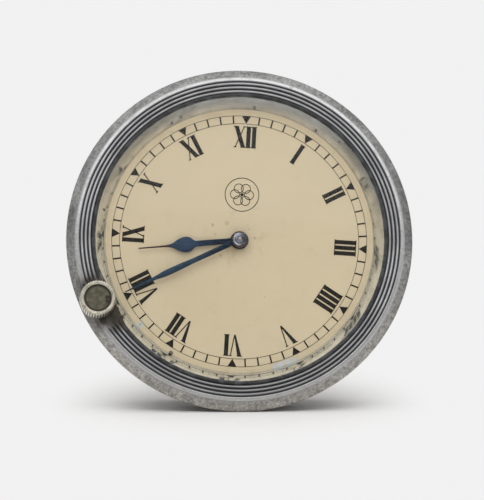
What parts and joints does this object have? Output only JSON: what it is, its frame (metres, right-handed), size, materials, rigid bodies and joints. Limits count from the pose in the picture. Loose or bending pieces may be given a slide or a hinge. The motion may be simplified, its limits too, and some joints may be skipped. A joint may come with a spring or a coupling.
{
  "type": "dashboard clock",
  "caption": "Round spring-driven dashboard clock with a ridged bezel, Roman dial, two hands and a winding knob through the bezel.",
  "frame": {"origin": "on the clock's axis, in the plane of the bezel's rear edge, which seats on the panel", "axes": "-Y is out of the dial towards the viewer, +Y into the panel, +Z towards twelve o'clock, +X towards three o'clock"},
  "size_m": [0.08, 0.0525, 0.08],
  "materials": {
    "brass": "brushed, lightly tarnished",
    "nickel": "worn dull nickel plate",
    "case_zinc": "dull grey plating",
    "glass": "clear, slightly domed",
    "reflector": "polished, specked",
    "dial_paint": "satin cream enamel paint",
    "print": "printed ink",
    "blued_steel": "blued, polished",
    "steel": "polished",
    "ruby": "polished"
  },
  "bodies": {
    "case": {"case_shell": "case_zinc", "bezel": "nickel", "crystal": "glass", "reflector_ring": "reflector", "dial": "dial_paint", "hour_numerals": "print", "minute_track": "print", "dial_motif": "print", "dial_rest_ring": "brass", "stem_bush": "brass", "yoke_guide_pin": "steel", "detent_spring": "blued_steel", "back_cover": "case_zinc", "mounting_studs": "steel", "stud_nuts": "steel", "case_screws": "steel", "front_plate": "brass", "back_plate": "brass", "pillars": "brass", "pillar_screws": "blued_steel", "shoulder_screws": "steel", "click_spring": "blued_steel", "escape_cock": "brass", "hairspring_stud": "steel", "balance_cock": "brass", "cock_screws": "blued_steel", "jewels": "ruby"},
    "centre": {"centre_wheel": "brass", "centre_arbor": "steel", "cannon_pinion": "steel", "minute_hand": "blued_steel", "hand_cap": "blued_steel"},
    "hour": {"hour_wheel": "brass", "hour_hand": "blued_steel"},
    "minute": {"minute_wheel": "brass"},
    "idler": {"setting_idler": "brass"},
    "setting": {"setting_wheel": "steel"},
    "barrel": {"mainspring_barrel": "brass", "barrel_cover": "brass", "mainspring": "blued_steel"},
    "third": {"third_wheel": "brass", "third_arbor": "steel"},
    "fourth": {"fourth_wheel": "brass", "fourth_arbor": "steel"},
    "escape": {"escape_wheel": "steel", "escape_arbor": "steel"},
    "fork": {"pallet_fork": "steel", "pallet_arbor": "steel"},
    "balance": {"balance_wheel": "brass", "balance_staff": "steel", "hairspring": "blued_steel"},
    "index": {"regulator": "steel"},
    "stem_slide": {"setting_yoke": "steel"},
    "knob": {"winding_knob": "nickel", "winding_stem": "steel"},
    "transfer": {"transfer_wheel": "steel"},
    "ratchet": {"ratchet_wheel": "steel", "barrel_arbor": "steel"},
    "click": {"click": "steel"}
  },
  "joints": [
    {"name": "centre_spin", "type": "hinge", "parent": "case", "child": "centre", "pos_m": [0, 0, 0], "axis": [0, 1, 0], "continuous": true},
    {"name": "hour_spin", "type": "hinge", "parent": "case", "child": "hour", "pos_m": [0, 0, 0], "axis": [0, 1, 0], "continuous": true},
    {"name": "minute_wheel_spin", "type": "hinge", "parent": "case", "child": "minute", "pos_m": [-0.00417, 0.0026, -0.00432], "axis": [0, 1, 0], "continuous": true},
    {"name": "setting_idler_spin", "type": "hinge", "parent": "case", "child": "idler", "pos_m": [-0.01578, 0.0026, -0.01381], "axis": [0, 1, 0], "continuous": true},
    {"name": "setting_wheel_spin", "type": "hinge", "parent": "case", "child": "setting", "pos_m": [-0.02751, 0.0057, -0.01637], "axis": [0, 1, 0], "continuous": true},
    {"name": "barrel_spin", "type": "hinge", "parent": "case", "child": "barrel", "pos_m": [-0.01165, 0.0095, -0.0062], "axis": [0, 1, 0], "continuous": true},
    {"name": "third_spin", "type": "hinge", "parent": "case", "child": "third", "pos_m": [0.00715, 0.0115, 0.0038], "axis": [0, 1, 0], "continuous": true},
    {"name": "fourth_spin", "type": "hinge", "parent": "case", "child": "fourth", "pos_m": [0.01304, 0.0095, 0.0004], "axis": [0, 1, 0], "continuous": true},
    {"name": "escape_spin", "type": "hinge", "parent": "case", "child": "escape", "pos_m": [0.01609, 0.019, -0.00488], "axis": [0, 1, 0], "continuous": true},
    {"name": "knob_pull", "type": "slide", "parent": "case", "child": "stem_slide", "axis": [0, -1, 0], "range_m": [0, 0.0018]},
    {"name": "knob_turn", "type": "hinge", "parent": "stem_slide", "child": "knob", "pos_m": [-0.03196, -0.005, -0.01699], "axis": [0, 1, 0], "continuous": true},
    {"name": "transfer_spin", "type": "hinge", "parent": "case", "child": "transfer", "pos_m": [-0.0249, 0.0075, -0.01324], "axis": [0, 1, 0], "continuous": true},
    {"name": "ratchet_spin", "type": "hinge", "parent": "case", "child": "ratchet", "pos_m": [-0.01165, 0.0075, -0.0062], "axis": [0, 1, 0], "continuous": true},
    {"name": "click_lift", "type": "hinge", "parent": "case", "child": "click", "pos_m": [-0.02118, 0.0075, -0.0007], "axis": [0, 1, 0], "range_deg": [-6, 0], "stiffness_Nm_per_rad": 0.0002},
    {"name": "fork_rock", "type": "hinge", "parent": "case", "child": "fork", "pos_m": [0.01397, 0.0193, -0.00791], "axis": [0, 1, 0], "range_deg": [-5, 5]},
    {"name": "balance_swing", "type": "hinge", "parent": "case", "child": "balance", "pos_m": [0.01122, 0.0212, -0.01184], "axis": [0, 1, 0], "range_deg": [-270, 270], "stiffness_Nm_per_rad": 0.000003, "deforming": ["hairspring"]},
    {"name": "regulator_turn", "type": "hinge", "parent": "case", "child": "index", "pos_m": [0.01122, 0.0243, -0.01184], "axis": [0, 1, 0], "range_deg": [-20, 20]}
  ],
  "couplings": [
    {"joint": "hour_spin", "follows": "centre_spin", "ratio": 0.083333},
    {"joint": "minute_wheel_spin", "follows": "centre_spin", "ratio": -0.33333},
    {"joint": "setting_idler_spin", "follows": "centre_spin", "ratio": 0.14286},
    {"joint": "setting_wheel_spin", "follows": "centre_spin", "ratio": -1},
    {"joint": "barrel_spin", "follows": "centre_spin", "ratio": -0.11111},
    {"joint": "third_spin", "follows": "centre_spin", "ratio": -8},
    {"joint": "fourth_spin", "follows": "centre_spin", "ratio": 60},
    {"joint": "escape_spin", "follows": "centre_spin", "ratio": -600},
    {"joint": "transfer_spin", "follows": "knob_turn", "ratio": -0.14286},
    {"joint": "ratchet_spin", "follows": "knob_turn", "ratio": 0.125}
  ]
}
